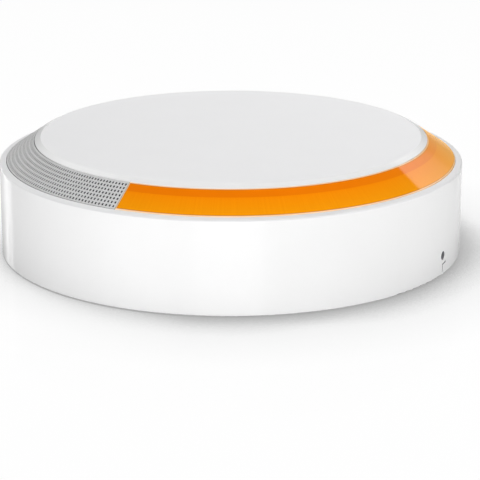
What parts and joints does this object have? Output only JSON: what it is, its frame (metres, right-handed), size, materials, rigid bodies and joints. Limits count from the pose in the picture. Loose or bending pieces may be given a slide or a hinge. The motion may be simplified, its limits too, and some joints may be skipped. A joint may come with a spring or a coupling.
{
  "type": "outdoor alarm siren",
  "caption": "Round flat wall-mounted alarm siren with a half-ring flash lens, a half-ring slotted sound grille, a domed white cap and a separate wall plate.",
  "frame": {"origin": "centre of the back, on the wall plane", "axes": "+Z away from the wall, -Y down when mounted on a wall, +X to the right seen from behind the wall"},
  "size_m": [0.2, 0.2, 0.05],
  "materials": {
    "white_abs": "glossy moulded",
    "satin_white": "satin moulded",
    "orange_lens": "clear orange polycarbonate, glossy",
    "grille_grey": "moulded light grey",
    "dark_mesh": "woven mesh",
    "reflector_white": "white reflector",
    "board": "fibreglass with solder mask",
    "chip_black": "epoxy",
    "led_yellow": "phosphor",
    "steel": "plated steel",
    "spring_steel": "bright drawn wire",
    "tin_can": "tinned",
    "brass": "turned",
    "black_abs": "moulded",
    "grey_abs": "moulded",
    "rear_white": "fine texture moulded",
    "rubber": "moulded silicone",
    "blue_sleeve": "shrink sleeve",
    "cell_wrap": "printed sleeve, bare",
    "red_wire": "insulated wire",
    "copper": "enamelled copper and ferrite",
    "button_grey": "moulded"
  },
  "bodies": {
    "wall_plate": {"wall_plate": "rear_white"},
    "housing": {"housing_shell": "white_abs", "top_cap": "satin_white", "flash_lens": "orange_lens", "sound_grille": "grille_grey", "insect_screen": "dark_mesh", "light_reflector": "reflector_white", "flash_board": "board", "flash_board_screws": "steel", "flash_leds": "led_yellow", "rear_chassis": "rear_white", "housing_seal": "rubber", "chassis_screws": "steel", "pressure_vent": "black_abs", "closure_insert": "brass", "main_board": "board", "board_screws": "steel", "radio_module": "tin_can", "board_chips": "chip_black", "storage_capacitors": "blue_sleeve", "step_up_transformer": "copper", "antenna": "tin_can", "tamper_switch": "black_abs", "tamper_spring": "spring_steel", "button_switch": "black_abs", "sounder_body": "black_abs", "piezo_disc": "brass", "sounder_clamp_ring": "grey_abs", "sounder_screws": "steel", "sound_horn": "black_abs", "battery_cells": "cell_wrap", "battery_contacts": "spring_steel", "battery_lead": "red_wire", "sounder_lead": "red_wire", "flash_lead": "red_wire", "lead_plugs": "rear_white"},
    "battery_cover": {"battery_cover": "rear_white", "battery_cover_seal": "rubber", "cover_screws": "steel"},
    "tamper_plunger": {"tamper_plunger": "grey_abs"},
    "pairing_button": {"pairing_button": "button_grey"},
    "closure_screw": {"closure_screw": "steel"}
  },
  "joints": [
    {"name": "housing_lift", "type": "slide", "parent": "wall_plate", "child": "housing", "axis": [0, 0, 1], "range_m": [0, 0.075]},
    {"name": "battery_cover_slide", "type": "slide", "parent": "housing", "child": "battery_cover", "axis": [0, 0, -1], "range_m": [0, 0.03]},
    {"name": "tamper_press", "type": "slide", "parent": "housing", "child": "tamper_plunger", "axis": [0, 0, -1], "range_m": [0, 0.003], "stiffness_N_per_m": 150, "springref_m": 0.003, "deforming": ["tamper_spring"]},
    {"name": "button_press", "type": "slide", "parent": "housing", "child": "pairing_button", "axis": [0, 0, 1], "range_m": [0, 0.0008], "stiffness_N_per_m": 800},
    {"name": "closure_screw_slide", "type": "slide", "parent": "housing", "child": "closure_screw", "axis": [0, -1, 0], "range_m": [0, 0.012]}
  ]
}
